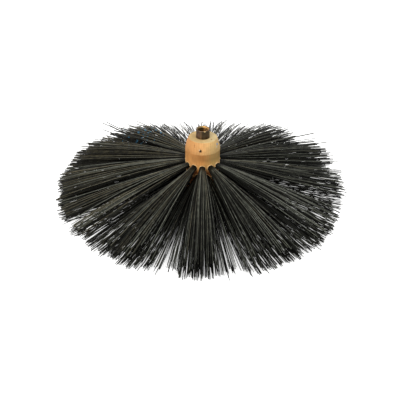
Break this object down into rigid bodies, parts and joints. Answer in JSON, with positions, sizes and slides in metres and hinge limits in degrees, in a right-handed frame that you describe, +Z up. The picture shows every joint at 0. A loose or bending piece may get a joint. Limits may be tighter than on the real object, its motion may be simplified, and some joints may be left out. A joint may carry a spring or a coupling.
{
  "type": "drain cleaning brush",
  "caption": "Drain cleaning brush head: stiff dark bristle tufts fan out all round from a turned wooden stock, with a threaded brass socket on top for a drain rod.",
  "frame": {"origin": "on the floor that the brush stands on, under the middle of the ring of bristle tips", "axes": "+Z up along the stock's turning axis, out of the mouth of the socket; -Y is the side that faces the camera, where the first tuft of the upper row points"},
  "size_m": [0.4492, 0.4494, 0.1064],
  "materials": {
    "wood": "turned, unvarnished",
    "brass": "tarnished",
    "steel": "drawn wire",
    "bristle": "satin"
  },
  "bodies": {
    "root": {"wood_stock": "wood", "threaded_socket": "brass", "locking_pin": "steel", "upper_tuft_01": "bristle", "upper_tuft_02": "bristle", "upper_tuft_03": "bristle", "upper_tuft_04": "bristle", "upper_tuft_05": "bristle", "upper_tuft_06": "bristle", "upper_tuft_07": "bristle", "upper_tuft_08": "bristle", "upper_tuft_09": "bristle", "upper_tuft_10": "bristle", "upper_tuft_11": "bristle", "upper_tuft_12": "bristle", "upper_tuft_13": "bristle", "middle_tuft_01": "bristle", "middle_tuft_02": "bristle", "middle_tuft_03": "bristle", "middle_tuft_04": "bristle", "middle_tuft_05": "bristle", "middle_tuft_06": "bristle", "middle_tuft_07": "bristle", "middle_tuft_08": "bristle", "middle_tuft_09": "bristle", "middle_tuft_10": "bristle", "middle_tuft_11": "bristle", "middle_tuft_12": "bristle", "middle_tuft_13": "bristle", "lower_tuft_01": "bristle", "lower_tuft_02": "bristle", "lower_tuft_03": "bristle", "lower_tuft_04": "bristle", "lower_tuft_05": "bristle", "lower_tuft_06": "bristle", "lower_tuft_07": "bristle", "lower_tuft_08": "bristle", "lower_tuft_09": "bristle", "lower_tuft_10": "bristle", "lower_tuft_11": "bristle", "lower_tuft_12": "bristle", "lower_tuft_13": "bristle"}
  },
  "joints": []
}
